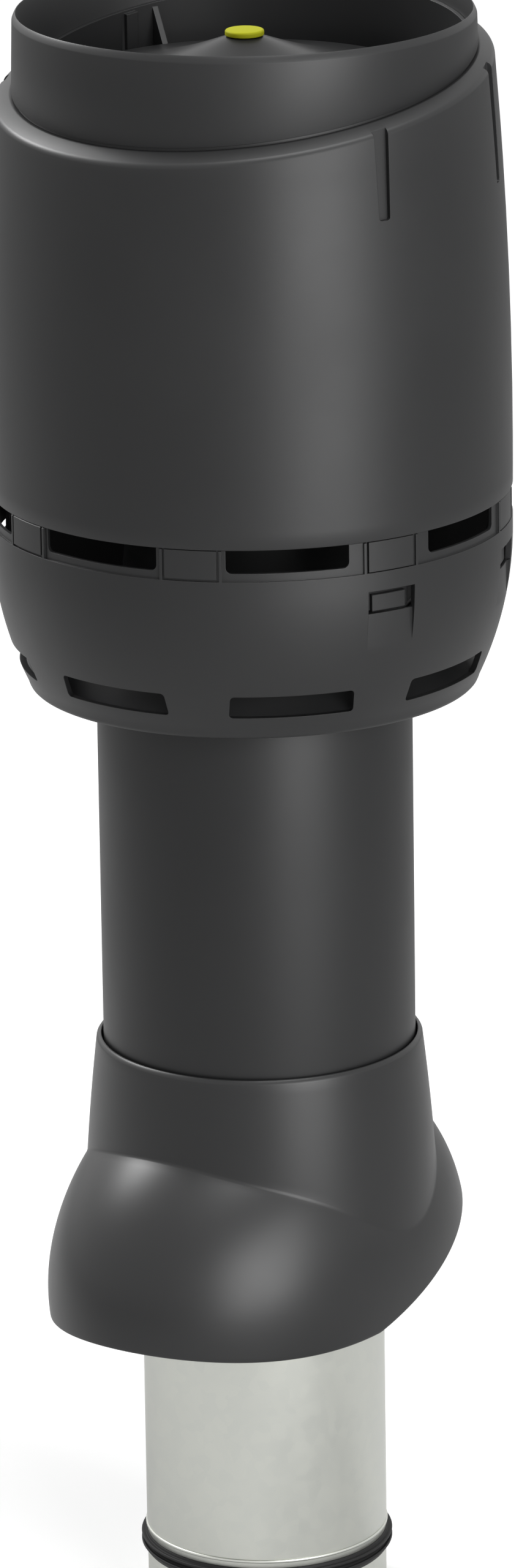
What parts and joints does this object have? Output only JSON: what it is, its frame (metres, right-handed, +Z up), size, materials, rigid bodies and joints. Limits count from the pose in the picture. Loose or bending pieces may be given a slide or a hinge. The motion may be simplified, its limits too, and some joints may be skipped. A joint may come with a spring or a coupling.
{
  "type": "roof vent pipe",
  "caption": "Insulated roof vent pipe: steel duct in a plastic pipe, lift-off exhaust hood with rain dome, and a sliding cover for a sloping roof.",
  "frame": {"origin": "centre of the duct coupling's lower end, on the pipe's axis", "axes": "+Z up along the pipe, -Y down the roof slope, +X to the right seen from down the slope"},
  "size_m": [0.2632, 0.2649, 0.843],
  "materials": {
    "charcoal_plastic": "fine satin moulded plastic",
    "cover_plastic": "smooth satin moulded plastic",
    "yellow_plastic": "smooth lime yellow plastic",
    "black_rubber": "matt sealing rubber",
    "galvanised_steel": "galvanised sheet with a faint spangle",
    "insulation": "mineral wool",
    "screw_steel": "bright zinc plated"
  },
  "bodies": {
    "root": {"duct_pipe": "galvanised_steel", "spigot_coupling": "galvanised_steel", "spigot_gasket": "black_rubber", "insulation_sleeve": "insulation", "outer_pipe": "charcoal_plastic", "pipe_bottom_ring": "charcoal_plastic", "pipe_top_ring": "charcoal_plastic", "hood_bowl": "charcoal_plastic", "socket_screws": "screw_steel", "riser_tube": "charcoal_plastic", "riser_screws": "screw_steel"},
    "cover_seal": {"collar_seal": "black_rubber"},
    "cover": {"roof_cover": "cover_plastic"},
    "hood_top": {"hood_shell": "charcoal_plastic", "vane_carrier": "charcoal_plastic", "carrier_screws": "screw_steel", "rain_dome": "charcoal_plastic", "dome_washer": "screw_steel", "dome_screw": "screw_steel"},
    "plug": {"centre_plug": "yellow_plastic"},
    "latch_1": {"latch_tongue_1": "charcoal_plastic"},
    "latch_2": {"latch_tongue_2": "charcoal_plastic"},
    "latch_3": {"latch_tongue_3": "charcoal_plastic"},
    "latch_4": {"latch_tongue_4": "charcoal_plastic"}
  },
  "joints": [
    {"name": "cover_slide", "type": "slide", "parent": "root", "child": "cover_seal", "axis": [0, 0, 1], "range_m": [-0.09, 0.18]},
    {"name": "cover_turn", "type": "hinge", "parent": "cover_seal", "child": "cover", "pos_m": [0, 0, 0.29], "axis": [0, 0, 1], "continuous": true},
    {"name": "hood_lift", "type": "slide", "parent": "root", "child": "hood_top", "axis": [0, 0, 1], "range_m": [0, 0.25]},
    {"name": "plug_pull", "type": "slide", "parent": "hood_top", "child": "plug", "axis": [0, 0, 1], "range_m": [0, 0.012]},
    {"name": "latch_1_flex", "type": "hinge", "parent": "hood_top", "child": "latch_1", "pos_m": [0.11826, -0.04898, 0.602], "axis": [-0.3827, -0.9239, 0], "range_deg": [0, 5], "stiffness_Nm_per_rad": 0.4},
    {"name": "latch_2_flex", "type": "hinge", "parent": "hood_top", "child": "latch_2", "pos_m": [0.11826, 0.04898, 0.602], "axis": [0.3827, -0.9239, 0], "range_deg": [0, 5], "stiffness_Nm_per_rad": 0.4},
    {"name": "latch_3_flex", "type": "hinge", "parent": "hood_top", "child": "latch_3", "pos_m": [-0.11826, 0.04898, 0.602], "axis": [0.3827, 0.9239, 0], "range_deg": [0, 5], "stiffness_Nm_per_rad": 0.4},
    {"name": "latch_4_flex", "type": "hinge", "parent": "hood_top", "child": "latch_4", "pos_m": [-0.11826, -0.04898, 0.602], "axis": [-0.3827, 0.9239, 0], "range_deg": [0, 5], "stiffness_Nm_per_rad": 0.4}
  ]
}
